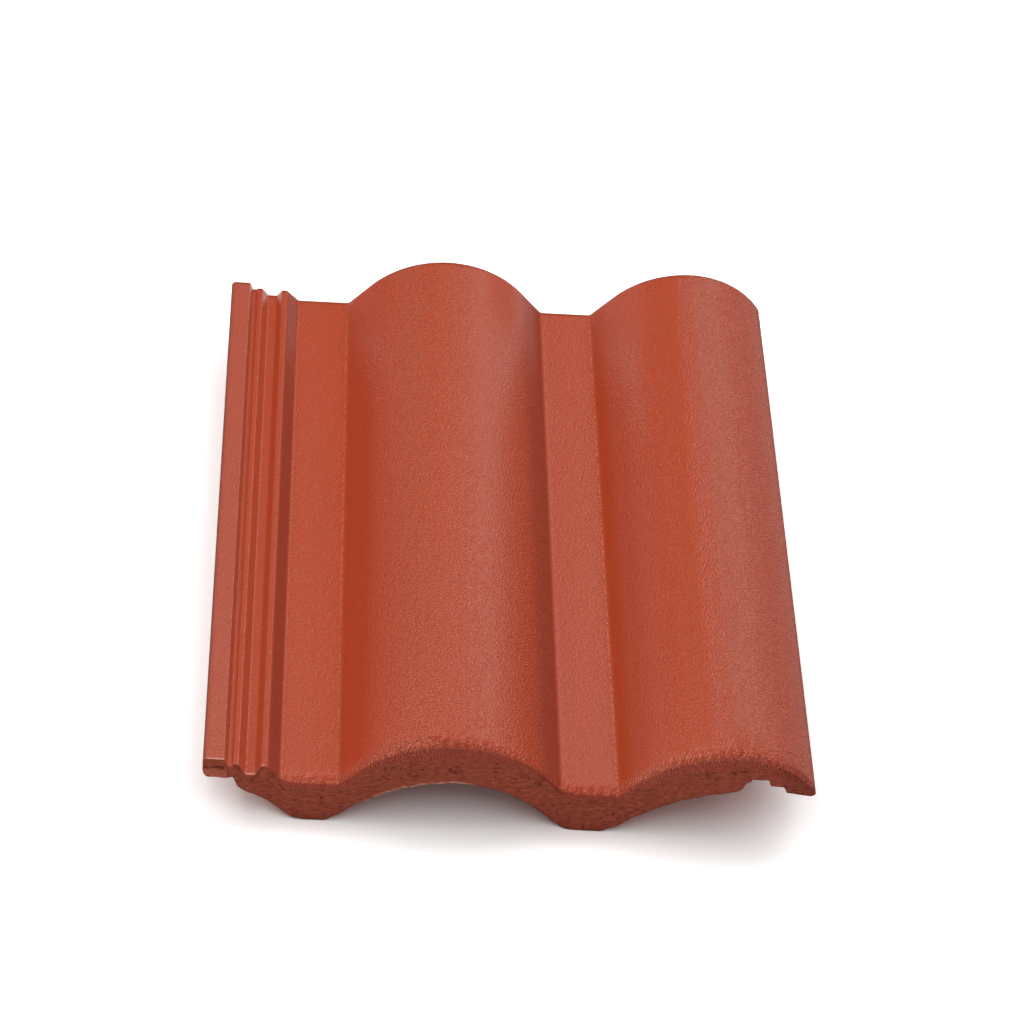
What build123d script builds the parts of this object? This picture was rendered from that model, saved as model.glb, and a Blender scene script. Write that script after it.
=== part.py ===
from build123d import *
import math
import os

# Double-roll interlocking concrete roof tile: one extruded piece, in millimetres.
# X runs across the tile, +Y from the nose (eaves end) to the head, and +Z is up.
# The section is drawn from the left edge and from the top of the flat pans, and the
# finished tile is moved so that its origin is at the bottom centre of its box.

# Overall sizes
TILE_LENGTH = 421.0
TILE_WIDTH = 329.0
SIDE_LAP = 27.6
SHELL_THICKNESS = 12.0
NOSE_DEPTH = 30.0

# Side lock on the left edge: widths from the edge inwards, heights over the pans
LEDGE_WIDTH = 11.4
LEDGE_HEIGHT = 12.0
LEDGE_THICKNESS = 12.9
LEDGE_TOP_RADIUS = 2.5
LEDGE_BOTTOM_RADIUS = 3.0
LEDGE_WALL_RUN = 2.1
GROOVE_WIDTH = 1.8
GROOVE_HEIGHT = 7.0
GROOVE_WALL_RUN = 1.1
OUTER_RIB_WIDTH = 2.6
OUTER_RIB_HEIGHT = 7.9
CHANNEL_WALL_RUN = 4.0
CHANNEL_WIDTH = 5.0
CHANNEL_HEIGHT = 3.0
INNER_RIB_WALL_RUN = 3.2
INNER_RIB_WIDTH = 2.9
INNER_RIB_HEIGHT = 7.3
LOCK_SLOPE_RUN = 7.5
LOCK_CORNER_RADIUS = 0.7
LEDGE_UNDERSIDE_WIDTH = 16.2
LOCK_ROOT_RUN = 2.3
LOCK_ROOT_WIDTH = 2.5

# Pans and rolls: two rolls and two pans fill the width that one tile covers.
# The second roll's outer half is nearly one arc from its crest to the right edge, and
# the share says how much less its last slope turns than the whole arc would.
PAN_WIDTH = 31.2
ROLL_HEIGHT = 35.5
ROLL_FLANK_ANGLE = 48.0
CREASE_RADIUS = 4.0
RIGHT_EDGE_HEIGHT = 10.3
OUTER_TURN_SHARE = 0.99

# Overlapping lock under the right edge, which lies on the next tile's ledge and outer rib:
# widths from the edge inwards
LIP_WIDTH = 15.6
LIP_BOTTOM_RADIUS = 1.2
BAR_WIDTH = 8.0
RECESS_WIDTH = 9.0
RECESS_DEPTH = 4.2
LOCK_CLEARANCE = 0.2
WEATHER_RIB_WIDTH = 6.0
LOCK_STEP_RUN = 1.4
LOCK_STEP_RADIUS = 1.2

# Nose: the thick front end, with a foot under each pan and an arch under each roll, a
# little wider than the roll
NOSE_THICKNESS = 16.0
NOSE_EDGE_RADIUS = 5.0
ARCH_SPREAD = 2.5
ARCH_RISE = 36.0
ARCH_FLANK_ANGLE = 50.0
FOOT_CORNER_RADIUS = 8.0
FOOT_SLOPE_ANGLE = 36.0
LOCK_SETBACK = 5.5
LOCK_SETBACK_WIDTH = 20.0

# Hanging nibs under the pans at the head, as deep as the nose so that the tile lies level
NIB_WIDTH = 30.0
NIB_ROOT_LENGTH = 20.0
NIB_TIP_LENGTH = 12.0
NIB_HEAD_GAP = 8.0
NIB_TIP_RADIUS = 2.0
NIB_OVERLAP = 4.0

# How far a cutting shape runs past what it cuts
CUT_MARGIN = 10.0
SAME_POINT = 0.001


def tangent(angle):
    return math.tan(math.radians(angle))


def crown_radius(height, base, flank_angle):
    """Radius of the arc that joins two flanks of this slope at this height."""
    flank_meeting = base / 2 * tangent(flank_angle)
    return (flank_meeting - height) / (1 / math.cos(math.radians(flank_angle)) - 1)


def corner_run(radius, turn):
    """How far before a corner its rounding starts."""
    return radius * tangent(turn / 2)


ROLL_PITCH = (TILE_WIDTH - SIDE_LAP) / 2
ROLL_BASE = ROLL_PITCH - PAN_WIDTH
ROLL_RADIUS = crown_radius(ROLL_HEIGHT, ROLL_BASE, ROLL_FLANK_ANGLE)
ARCH_BASE = ROLL_BASE + ARCH_SPREAD
ARCH_RADIUS = crown_radius(ARCH_RISE, ARCH_BASE, ARCH_FLANK_ANGLE)
ARCH_TOP = ARCH_RISE - NOSE_DEPTH
LIP_HEIGHT = OUTER_RIB_HEIGHT + LOCK_CLEARANCE
BAR_HEIGHT = LEDGE_HEIGHT + LOCK_CLEARANCE
RECESS_HEIGHT = BAR_HEIGHT + RECESS_DEPTH
LEDGE_BOTTOM = LEDGE_HEIGHT - LEDGE_THICKNESS
LOCK_ROOT_BOTTOM = CHANNEL_HEIGHT - SHELL_THICKNESS

# Places across the tile, from the left edge
GROOVE_START = LEDGE_WIDTH + LEDGE_WALL_RUN
GROOVE_END = GROOVE_START + GROOVE_WIDTH
OUTER_RIB_START = GROOVE_END + GROOVE_WALL_RUN
OUTER_RIB_END = OUTER_RIB_START + OUTER_RIB_WIDTH
CHANNEL_START = OUTER_RIB_END + CHANNEL_WALL_RUN
CHANNEL_END = CHANNEL_START + CHANNEL_WIDTH
INNER_RIB_START = CHANNEL_END + INNER_RIB_WALL_RUN
INNER_RIB_END = INNER_RIB_START + INNER_RIB_WIDTH
PAN_START = INNER_RIB_END + LOCK_SLOPE_RUN
PAN_END = PAN_START + PAN_WIDTH
FIRST_CREST = PAN_END + ROLL_BASE / 2
SECOND_CREST = FIRST_CREST + ROLL_PITCH
SECOND_PAN_START = PAN_END + ROLL_BASE
SECOND_PAN_END = SECOND_CREST - ROLL_BASE / 2
LOCK_ROOT_START = LEDGE_UNDERSIDE_WIDTH + LOCK_ROOT_RUN
LOCK_ROOT_END = LOCK_ROOT_START + LOCK_ROOT_WIDTH
LIP_START = TILE_WIDTH - LIP_WIDTH
BAR_END = LIP_START - LOCK_STEP_RUN
BAR_START = BAR_END - BAR_WIDTH
RECESS_END = BAR_START - LOCK_STEP_RUN
RECESS_START = RECESS_END - RECESS_WIDTH
WEATHER_RIB_END = RECESS_START - LOCK_STEP_RUN
WEATHER_RIB_START = WEATHER_RIB_END - WEATHER_RIB_WIDTH


def stock_corners():
    """Corners of the plain stock: the upper side, closed by a straight line below the tile.

    The corners beside the rounded nose edge are sharp, so that its rounding ends there.
    """
    below = -NOSE_DEPTH - CUT_MARGIN
    crown_run = corner_run(ROLL_RADIUS, ROLL_FLANK_ANGLE)
    outer_fall = ROLL_HEIGHT - RIGHT_EDGE_HEIGHT
    whole_turn = 2 * math.degrees(math.atan2(outer_fall, TILE_WIDTH - SECOND_CREST))
    outer_turn = whole_turn * OUTER_TURN_SHARE
    outer_run = TILE_WIDTH - SECOND_CREST - outer_fall / tangent(outer_turn)
    outer_radius = outer_run / tangent(outer_turn / 2)
    return [
        ((0, LEDGE_HEIGHT), LEDGE_TOP_RADIUS),
        ((LEDGE_WIDTH, LEDGE_HEIGHT), LOCK_CORNER_RADIUS),
        ((GROOVE_START, GROOVE_HEIGHT), LOCK_CORNER_RADIUS),
        ((GROOVE_END, GROOVE_HEIGHT), LOCK_CORNER_RADIUS),
        ((OUTER_RIB_START, OUTER_RIB_HEIGHT), LOCK_CORNER_RADIUS),
        ((OUTER_RIB_END, OUTER_RIB_HEIGHT), LOCK_CORNER_RADIUS),
        ((CHANNEL_START, CHANNEL_HEIGHT), LOCK_CORNER_RADIUS),
        ((CHANNEL_END, CHANNEL_HEIGHT), LOCK_CORNER_RADIUS),
        ((INNER_RIB_START, INNER_RIB_HEIGHT), LOCK_CORNER_RADIUS),
        ((INNER_RIB_END, INNER_RIB_HEIGHT), 0),
        ((PAN_START, 0), CREASE_RADIUS),
        ((PAN_END, 0), CREASE_RADIUS),
        ((FIRST_CREST, ROLL_BASE / 2 * tangent(ROLL_FLANK_ANGLE)), ROLL_RADIUS),
        ((SECOND_PAN_START, 0), CREASE_RADIUS),
        ((SECOND_PAN_END, 0), CREASE_RADIUS),
        ((SECOND_CREST - crown_run, ROLL_HEIGHT), ROLL_RADIUS),
        ((SECOND_CREST + outer_run, ROLL_HEIGHT), outer_radius),
        ((TILE_WIDTH, RIGHT_EDGE_HEIGHT), 0),
        ((TILE_WIDTH, below), 0),
        ((0, below), 0),
    ]


def underside_corners():
    """Corners of what the die takes off under the nose section, from right to left."""
    foot = -NOSE_DEPTH
    below = foot - 2 * CUT_MARGIN
    arch_run = corner_run(ARCH_RADIUS, ARCH_FLANK_ANGLE)
    slope_run = (LOCK_ROOT_BOTTOM - foot) / tangent(FOOT_SLOPE_ANGLE)
    arch_meeting = foot + ARCH_BASE / 2 * tangent(ARCH_FLANK_ANGLE)
    return [
        ((TILE_WIDTH + CUT_MARGIN, below), 0),
        ((TILE_WIDTH + CUT_MARGIN, LIP_HEIGHT), 0),
        ((LIP_START, LIP_HEIGHT), LOCK_STEP_RADIUS),
        ((BAR_END, BAR_HEIGHT), LOCK_STEP_RADIUS),
        ((BAR_START, BAR_HEIGHT), LOCK_STEP_RADIUS),
        ((RECESS_END, RECESS_HEIGHT), LOCK_STEP_RADIUS),
        ((RECESS_START, RECESS_HEIGHT), LOCK_STEP_RADIUS),
        ((WEATHER_RIB_END, ARCH_TOP), 0),
        ((SECOND_CREST - arch_run, ARCH_TOP), ARCH_RADIUS),
        ((SECOND_CREST - ARCH_BASE / 2, foot), FOOT_CORNER_RADIUS),
        ((FIRST_CREST + ARCH_BASE / 2, foot), FOOT_CORNER_RADIUS),
        ((FIRST_CREST, arch_meeting), ARCH_RADIUS),
        ((FIRST_CREST - ARCH_BASE / 2, foot), FOOT_CORNER_RADIUS),
        ((LOCK_ROOT_END + slope_run, foot), FOOT_CORNER_RADIUS),
        ((LOCK_ROOT_END, LOCK_ROOT_BOTTOM), 0),
        ((LOCK_ROOT_START, LOCK_ROOT_BOTTOM), LOCK_STEP_RADIUS),
        ((LEDGE_UNDERSIDE_WIDTH, LEDGE_BOTTOM), LOCK_STEP_RADIUS),
        ((-CUT_MARGIN, LEDGE_BOTTOM), 0),
        ((-CUT_MARGIN, below), 0),
    ]


def hollow_corners():
    """Corners of the hollow behind the nose with their radii.

    Its upper side lies one shell thickness under the pans and rolls, measured square
    to them. It is closed by a straight line below the tile, and past the right edge.
    """
    below = -NOSE_DEPTH - CUT_MARGIN
    pan_bottom = -SHELL_THICKNESS
    inner_radius = ROLL_RADIUS - SHELL_THICKNESS
    crease_radius = CREASE_RADIUS + SHELL_THICKNESS
    flank_drop = SHELL_THICKNESS / math.cos(math.radians(ROLL_FLANK_ANGLE))
    flank_shift = (flank_drop - SHELL_THICKNESS) / tangent(ROLL_FLANK_ANGLE)
    crown_meeting = ROLL_BASE / 2 * tangent(ROLL_FLANK_ANGLE) - flank_drop
    flank_end = SECOND_CREST + ROLL_BASE / 2 - flank_shift
    return [
        ((LOCK_ROOT_END, below), 0),
        ((LOCK_ROOT_END, LOCK_ROOT_BOTTOM), 0),
        ((INNER_RIB_END, LOCK_ROOT_BOTTOM), LOCK_STEP_RADIUS),
        ((PAN_START, pan_bottom), LOCK_STEP_RADIUS),
        ((PAN_END + flank_shift, pan_bottom), crease_radius),
        ((FIRST_CREST, crown_meeting), inner_radius),
        ((SECOND_PAN_START - flank_shift, pan_bottom), crease_radius),
        ((SECOND_PAN_END + flank_shift, pan_bottom), crease_radius),
        ((SECOND_CREST, crown_meeting), inner_radius),
        ((flank_end, pan_bottom), 0),
        ((flank_end, below), 0),
    ]


def outline_face(corners):
    """A flat face across the tile, standing upright on the nose plane."""
    points = [point for point, radius in corners]
    radii = [radius for point, radius in corners]
    return Plane.XZ * make_face(FilletPolyline(*points, radius=radii, close=True))


def along(face, start, end):
    """The face carried along the tile's length from one distance from the nose to another."""
    return extrude(Pos(0, start, 0) * face, amount=end - start, dir=(0, 1, 0))


def nose_top_edges(stock):
    """The front edges of the upper side, from the lock's slope to the right edge."""
    chosen = []
    for face in stock.faces():
        if face.center().X > INNER_RIB_END and face.normal_at().Z > SAME_POINT:
            for edge in face.edges():
                if abs((edge @ 0).Y) < SAME_POINT and abs((edge @ 1).Y) < SAME_POINT:
                    chosen.append(edge)
    return chosen


def long_edge(tile, across, height):
    """The edge that runs along the tile at this place in its section."""
    lines = [edge for edge in tile.edges() if abs((edge @ 0.5).X - across) < SAME_POINT]
    return [edge for edge in lines if abs((edge @ 0.5).Z - height) < SAME_POINT]


def solid_with_nose_section():
    """The whole length in the nose's section, with the nose's upper edge rounded."""
    tile = along(outline_face(stock_corners()), 0, TILE_LENGTH)
    tile = fillet(nose_top_edges(tile), NOSE_EDGE_RADIUS)
    tile -= along(outline_face(underside_corners()), -CUT_MARGIN, TILE_LENGTH + CUT_MARGIN)
    tile = fillet(long_edge(tile, 0, LEDGE_BOTTOM), LEDGE_BOTTOM_RADIUS)
    return fillet(long_edge(tile, TILE_WIDTH, LIP_HEIGHT), LIP_BOTTOM_RADIUS)


def hollow_behind_nose():
    """The hollow, which ends at the weather rib beside the overlapping lock."""
    hollow = along(outline_face(hollow_corners()), NOSE_THICKNESS, TILE_LENGTH + CUT_MARGIN)
    return split(hollow, Plane.YZ.offset(WEATHER_RIB_START), keep=Keep.BOTTOM)


def lock_setback():
    """What the front cut takes off the side lock, which ends behind the nose."""
    plan = Polyline(
        (-CUT_MARGIN, -CUT_MARGIN),
        (PAN_START + CREASE_RADIUS, -CUT_MARGIN),
        (PAN_START + CREASE_RADIUS, 0),
        (LOCK_SETBACK_WIDTH, LOCK_SETBACK),
        (-CUT_MARGIN, LOCK_SETBACK),
        close=True,
    )
    height = NOSE_DEPTH + ROLL_HEIGHT + 2 * CUT_MARGIN
    return extrude(Pos(0, 0, -NOSE_DEPTH - CUT_MARGIN) * make_face(plan), amount=height)


def hanging_nib(centre):
    """A nib under a pan, tapered towards its tip in the length only."""
    head = TILE_LENGTH - NIB_HEAD_GAP
    side = Polyline(
        (head, NIB_OVERLAP - SHELL_THICKNESS),
        (head, -SHELL_THICKNESS),
        (head - (NIB_ROOT_LENGTH - NIB_TIP_LENGTH), -NOSE_DEPTH),
        (head - NIB_ROOT_LENGTH, -NOSE_DEPTH),
        (head - NIB_ROOT_LENGTH, NIB_OVERLAP - SHELL_THICKNESS),
        close=True,
    )
    face = Plane.YZ * make_face(side)
    nib = extrude(Pos(centre - NIB_WIDTH / 2, 0, 0) * face, amount=NIB_WIDTH)
    tip_edges = nib.faces().sort_by(Axis.Z)[0].edges()
    return fillet(tip_edges, NIB_TIP_RADIUS)


def roof_tile():
    tile = solid_with_nose_section() - lock_setback() - hollow_behind_nose()
    tile += hanging_nib((PAN_START + PAN_END) / 2)
    tile += hanging_nib((SECOND_PAN_START + SECOND_PAN_END) / 2)
    return Pos(-TILE_WIDTH / 2, -TILE_LENGTH / 2, NOSE_DEPTH) * tile


os.makedirs("parts", exist_ok=True)
export_step(roof_tile(), "parts/roof_tile.step")
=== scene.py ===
# %% [markdown]
# # A concrete roof tile with two rolls
#
# The real tile is one piece of concrete. A wet ribbon of it is pressed between a roller
# and a pallet, so its section runs unchanged along the length, a coloured coat is sprayed
# on the upper side, and a knife cuts the ribbon at the nose and at the head. A plain solid
# of the tile gives the place and the size, and this script gives it its real skin.

import bpy
import numpy as np
from mathutils import Matrix


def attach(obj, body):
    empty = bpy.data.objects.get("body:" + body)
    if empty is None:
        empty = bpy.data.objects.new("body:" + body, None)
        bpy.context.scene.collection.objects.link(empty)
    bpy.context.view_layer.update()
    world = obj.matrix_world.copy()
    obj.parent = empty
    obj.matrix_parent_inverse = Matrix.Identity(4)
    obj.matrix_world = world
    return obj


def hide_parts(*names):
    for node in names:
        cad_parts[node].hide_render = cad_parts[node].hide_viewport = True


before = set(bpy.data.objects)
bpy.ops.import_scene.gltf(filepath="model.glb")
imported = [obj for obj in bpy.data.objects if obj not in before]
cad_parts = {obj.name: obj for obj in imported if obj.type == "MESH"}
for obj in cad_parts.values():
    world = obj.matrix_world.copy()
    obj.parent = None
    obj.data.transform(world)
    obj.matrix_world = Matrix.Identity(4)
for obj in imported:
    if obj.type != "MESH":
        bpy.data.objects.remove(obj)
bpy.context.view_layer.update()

# %% [markdown]
# The lengths below are millimetres. X runs across the tile from its left edge, Y from the
# nose to the head, and Z is counted from the top of the flat pans, as in the section
# drawing. One function moves finished points to the frame's own origin, at the middle of
# the tile on the floor.

# %% The tile's main sizes
LENGTH, WIDTH = 421.0, 329.0
FOOT = -30.0  # height of the feet and of the floor
SHELL = 12.0  # thickness of the shell behind the nose
NOSE_THICKNESS = 16.0
PAN_1, PAN_2 = (41.6, 72.8), (192.6, 223.5)
CREST_1, CREST_2, CREST_HEIGHT = 132.7, 283.4, 35.5
ROLL_RADIUS, OUTER_RADIUS = 62.75, 54.1
FLANK_RUN = 59.9  # from the edge of a pan to the middle of the next crest
FLANK_ANGLE, OUTER_ANGLE = np.radians(48), np.radians(57)
print("tile", WIDTH, "x", LENGTH, "mm, crests", CREST_2 - CREST_1, "mm apart")


def to_frame(points):
    """Section millimetres to frame metres: centre X and Y, put the feet on the floor."""
    return (points - np.array([WIDTH / 2, LENGTH / 2, FOOT])) / 1000


# %% [markdown]
# ## The section
# The roller leaves straight runs and round corners. A drawing of it is a row of corners,
# each with its radius, and a height is read from it at any place across the tile. A
# profile curve with a Bevel modifier could do the same, but heights at known places let
# the mesh put its columns exactly on the ribs and creases.


# %% A line with rounded corners
def rounded_line(corners, steps=65):
    """Straight runs from corner to corner, with a circular arc in place of each corner.

    A corner is (x, z, radius). Its arc starts radius * tan(turn / 2) before it, and a point
    of the arc is start + radius * (sin(a) * way in + (1 - cos(a)) * normal), for a from 0
    to the turn.
    """
    place = np.array(corners, float)
    way = np.diff(place[:, :2], axis=0)
    way /= np.linalg.norm(way, axis=1)[:, None]
    before, after = way[:-1], way[1:]
    side = before[:, 0] * after[:, 1] - before[:, 1] * after[:, 0]
    turn = np.arctan2(np.abs(side), (before * after).sum(axis=1))
    radius = place[1:-1, 2]
    start = place[1:-1, :2] - before * (radius * np.tan(turn / 2))[:, None]
    normal = np.stack([-before[:, 1], before[:, 0]], axis=1) * np.sign(side)[:, None]
    angle = np.linspace(0, 1, steps) * turn[:, None]
    arcs = start[:, None] + radius[:, None, None] * (
        np.sin(angle)[..., None] * before[:, None]
        + (1 - np.cos(angle))[..., None] * normal[:, None]
    )
    line = np.concatenate([place[:1, :2], arcs.reshape(-1, 2), place[-1:, :2]])
    return line[:, 0], line[:, 1]


def edge_drop(distance, radius):
    """How far a surface falls at distance d from an edge of radius r: r - sqrt(r^2 - (r - d)^2)."""
    inward = np.clip(radius - distance, 0, radius)
    return radius - np.sqrt(radius**2 - inward**2)


# %% [markdown]
# From the left, the upper side has the ledge that carries the next tile, two low ribs
# with their grooves, the first pan, a full roll, the second pan, and the outer roll, which
# ends in the lip that overlaps the next tile.

# %% Upper side of the section
flank_meeting = FLANK_RUN * np.tan(FLANK_ANGLE)
crown_run = ROLL_RADIUS * np.tan(FLANK_ANGLE / 2)
outer_run = OUTER_RADIUS * np.tan(OUTER_ANGLE / 2)
upper_line = rounded_line([
    (-1, 12, 0),
    (11.4, 12, 0.7), (13.5, 7, 0.6), (15.3, 7, 0.6), (16.4, 7.9, 0.6), (19, 7.9, 0.8),
    (23, 3, 0.8), (28, 3, 0.8), (31.2, 7.3, 0.8), (34.1, 7.3, 0.9), (PAN_1[0], 0, 2.5),
    (PAN_1[1], 0, 4), (CREST_1, flank_meeting, ROLL_RADIUS), (PAN_2[0], 0, 4),
    (PAN_2[1], 0, 4), (CREST_2 - crown_run, CREST_HEIGHT, ROLL_RADIUS),
    (CREST_2 + outer_run, CREST_HEIGHT, OUTER_RADIUS), (WIDTH, 10.4, 0),
])
UPPER_LEFT_RADIUS, UPPER_RIGHT_RADIUS = 2.5, 0.9


def upper_height(x):
    """Height of the upper side, which also falls away round the left and right edges."""
    height = np.interp(x, *upper_line)
    return height - edge_drop(x, UPPER_LEFT_RADIUS) - edge_drop(WIDTH - x, UPPER_RIGHT_RADIUS)


print("crests at", upper_height(np.array([CREST_1, CREST_2])), "mm")

# %% [markdown]
# Below, there are two sections. The nose is solid down to its feet, with an arch under
# each roll. Behind it the tile is a shell of even thickness, so that it is light. The
# overlapping lock, the side lock and their drip edges run along the whole length.

# %% Lower side of the nose and of the body
nose_line = rounded_line([
    (-1, -2.3, 0), (16.2, -2.3, 2.0), (18.7, -9.6, 1.2), (27.8, -12.8, 1.5), (31, -17.2, 2),
    (34.5, -19.6, 2), (40.2, -22.5, 5), (49.4, -28.6, 6), (55.5, -30, 6), (66, -30, 6),
    (73.7, -25.2, 6), (80.5, -18.1, 10), (98, -5.7, 30), (107, -0.9, 20), (116.3, 1.9, 20),
    (130.6, 4.6, 20), (138.6, 4.4, 20), (146.5, 3.6, 20), (154.6, 1.5, 20), (162.8, -2.2, 20),
    (171.2, -8.1, 20), (179.8, -15.4, 12), (188.5, -24.0, 8), (196, -30, 8), (216.5, -30, 8),
    (224.2, -25.8, 6), (235, -16.2, 12), (246.4, -8, 20), (258.6, -0.9, 20), (270, 3.2, 20),
    (279, 5.4, 8), (286.4, 7.0, 2), (289.3, 9.2, 1.0), (290.6, 13.4, 0.6), (292.8, 14.4, 0.6),
    (294.0, 16.5, 0.6), (302.6, 16.5, 1.2), (304.2, 12, 1.2), (311.6, 12.2, 1.2),
    (313.2, 8.3, 1.6), (325, 5.9, 3), (WIDTH + 1, 6.2, 0),
])
slope_drop = SHELL / np.cos(FLANK_ANGLE)
slope_shift = (slope_drop - SHELL) / np.tan(FLANK_ANGLE)
inner_radius = ROLL_RADIUS - SHELL
inner_run = inner_radius * np.tan(FLANK_ANGLE / 2)
body_line = rounded_line([
    (-1, -0.9, 0), (16.2, -0.9, 1.2), (18.5, -9, 1.2), (21, -9, 0.3), (34.1, -9, 1.2),
    (PAN_1[0], -SHELL, 1.2), (PAN_1[1] + slope_shift, -SHELL, 16),
    (CREST_1, flank_meeting - slope_drop, inner_radius), (PAN_2[0] - slope_shift, -SHELL, 16),
    (PAN_2[1] + slope_shift, -SHELL, 16), (CREST_2 - inner_run, CREST_HEIGHT - SHELL, inner_radius),
    (285.9, CREST_HEIGHT - SHELL, 0.8), (286.5, 6, 0.8), (292.2, 6, 0.8), (293.6, 16.4, 1.2),
    (302.6, 16.4, 1.2), (304, 12.2, 1.2), (312, 12.2, 1.2), (313.4, 8.1, 1.2),
    (WIDTH + 1, 8.1, 0),
])
LOWER_LEFT_RADIUS = 3.4


def lower_height(x, line, left_stretch=1.0, right_radius=1.0):
    """Height of a lower side, which rises round both edges, left_stretch times as far at left."""
    left_rise = left_stretch * edge_drop(x, LOWER_LEFT_RADIUS)
    return np.interp(x, *line) + left_rise + edge_drop(WIDTH - x, right_radius)


print("arches at", lower_height(np.array([CREST_1, CREST_2]), nose_line), "mm")


# %% [markdown]
# ## Columns and stations
# The mesh is a closed box of grid lines bent to the tile. Its columns stand at fixed
# places across, close together where the ribs and the drip edges turn. The nose has
# about four times as many as the body, because the wrinkled coat and the torn face are
# only there.


# %% Columns across the tile
def spread(runs):
    """Places in a row, from (start, end, steps, fineness) runs; True marks the coarse ones."""
    places, coarse = [np.array([0.0])], [np.array([True])]
    for start, end, steps, fineness in runs:
        count = steps * fineness
        places.append(start + (end - start) * np.arange(1, count + 1) / count)
        coarse.append(np.arange(1, count + 1) % fineness == 0)
    return np.concatenate(places), np.concatenate(coarse)


def round_edge(start, end, steps):
    """Runs whose places are r * (1 - cos(a)), for a rounded edge that starts at start."""
    angle = np.linspace(0, np.pi / 2, steps + 1)
    places = start + (end - start) * (1 - np.cos(angle))
    return [(a, b, 1, 1) for a, b in zip(places[:-1], places[1:])]


left_edge = round_edge(0, 3, 7)
right_edge = [(b, a, 1, 1) for a, b, _, _ in reversed(round_edge(WIDTH, WIDTH - 1, 4))]
columns, is_coarse = spread(
    left_edge
    + [
        (3, 10.8, 12, 1), (10.8, 13.9, 9, 1), (13.9, 16.9, 9, 1), (16.9, 19.5, 7, 1),
        (19.5, 23.5, 9, 1), (23.5, 27.5, 8, 1), (27.5, 31.7, 10, 1), (31.7, 34.6, 8, 1),
        (34.6, 42.2, 15, 1), (42.2, 43.2, 2, 1), (43.2, 71.2, 12, 4), (71.2, 72.2, 2, 1),
        (72.2, 74.8, 4, 1), (74.8, 190.6, 50, 4), (190.6, 193.05, 4, 1), (193.05, 194.05, 2, 1),
        (194.05, 222.05, 12, 4), (222.05, 223.05, 2, 1), (223.05, 225.5, 4, 1),
        (225.5, 285.5, 26, 4), (285.5, 287, 4, 1), (287, 291.5, 6, 1), (291.5, 295, 9, 1),
        (295, 301.5, 9, 1), (301.5, 305.2, 9, 1), (305.2, 310.8, 8, 1), (310.8, 315, 9, 1),
        (315, WIDTH - 1, 20, 1),
    ]
    + right_edge
)
print(len(columns), "columns at the nose,", is_coarse.sum(), "behind it")

# %% [markdown]
# ## The cut nose
# The knife leaves a face that isn't flat: it stands furthest forward under the crests,
# and lies back at the pans, at the side lock and on the right flank of the first roll.
# The wet coat sags over the cut edge. So each place across has its own set-back of the
# face and its own rounding of the edge, read from a few named places and blended.


# %% Shape of the nose across the tile
BLEND_STEP, BLEND_MARGIN = 0.25, 20


def blended(x, places, softness):
    """Values given at places across, joined by straight runs and averaged over a bell curve.

    The bell's weight at distance d is exp(-d^2 / (2 softness^2)), out to 3 times softness.
    """
    at, value = np.array(places, float).T
    fine = np.arange(-BLEND_MARGIN, WIDTH + BLEND_MARGIN, BLEND_STEP)
    steps = np.arange(-3 * softness, 3 * softness + BLEND_STEP, BLEND_STEP)
    bell = np.exp(-0.5 * (steps / softness) ** 2)
    bell /= bell.sum()
    reach = len(bell) // 2 * BLEND_STEP
    longer = np.arange(fine[0] - reach, fine[-1] + reach + BLEND_STEP / 2, BLEND_STEP)
    line = np.interp(longer, at, value)
    return np.interp(x, fine, np.convolve(line, bell, mode="valid")[: len(fine)])


SET_BACK = [
    (0, 5.6), (12, 5.6), (13.3, 5.5), (15.5, 5.5), (16.5, 6.6), (19, 6.6), (23, 4.1), (28, 4.1),
    (31, 6.7), (34.5, 6.7), (42, 4.6), (47, 3.6), (72, 3.5), (84, 2.7), (95, 1.9), (105, 1.3),
    (115, 1.0), (150, 1.1), (160, 1.7), (168, 2.6), (178, 4.0), (187, 5.2), (193, 5.2), (200, 4.0),
    (207, 3.7), (222, 3.6), (234, 2.9), (246, 2.0), (256, 1.4), (266, 1.0), (300, 1.0), (318, 1.0),
    (WIDTH, 1.2),
]
EDGE_RUN = [
    (0, 0.5), (40, 0.6), (45, 3.2), (50, 4.0), (84, 4.0), (95, 5), (105, 6.5), (120, 6.0),
    (130, 3.8), (150, 3.4), (168, 2.6), (186, 2.4), (196, 3.6), (222, 4.2), (234, 4.5), (262, 4.8),
    (280, 4.0), (300, 3.6), (318, 4.2), (WIDTH, 4.2),
]
EDGE_DEPTH = [
    (0, 0.5), (40, 0.6), (45, 3.6), (50, 5.8), (72, 6.0), (84, 5.6), (92, 6.4), (100, 8.0),
    (110, 10.0), (122, 11.0), (137, 11.6), (150, 10.0), (160, 7.4), (170, 5.0), (184, 3.4),
    (194, 4.2), (200, 5.4), (222, 5.8), (234, 5.8), (244, 7.6), (254, 9.8), (264, 11.6),
    (285, 12.4), (302, 11.0), (312, 8.5), (321, 6.5), (324.5, 9), (WIDTH, 9),
]
set_back = blended(columns, SET_BACK, 0.8)
edge_run = blended(columns, EDGE_RUN, 1.2)
edge_depth = blended(columns, EDGE_DEPTH, 1.2)
print("the face lies back by", set_back.min().round(1), "to", set_back.max().round(1), "mm")

# %% [markdown]
# Nothing on the nose is smooth. The coat wrinkles as it sags, and the face is torn by
# the knife, with pits and drag marks. Both come from one kind of noise: random heights
# on a square lattice, joined smoothly.


# %% Random relief
LATTICE = 256  # the lattice repeats after so many steps, more than the nose needs


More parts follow.
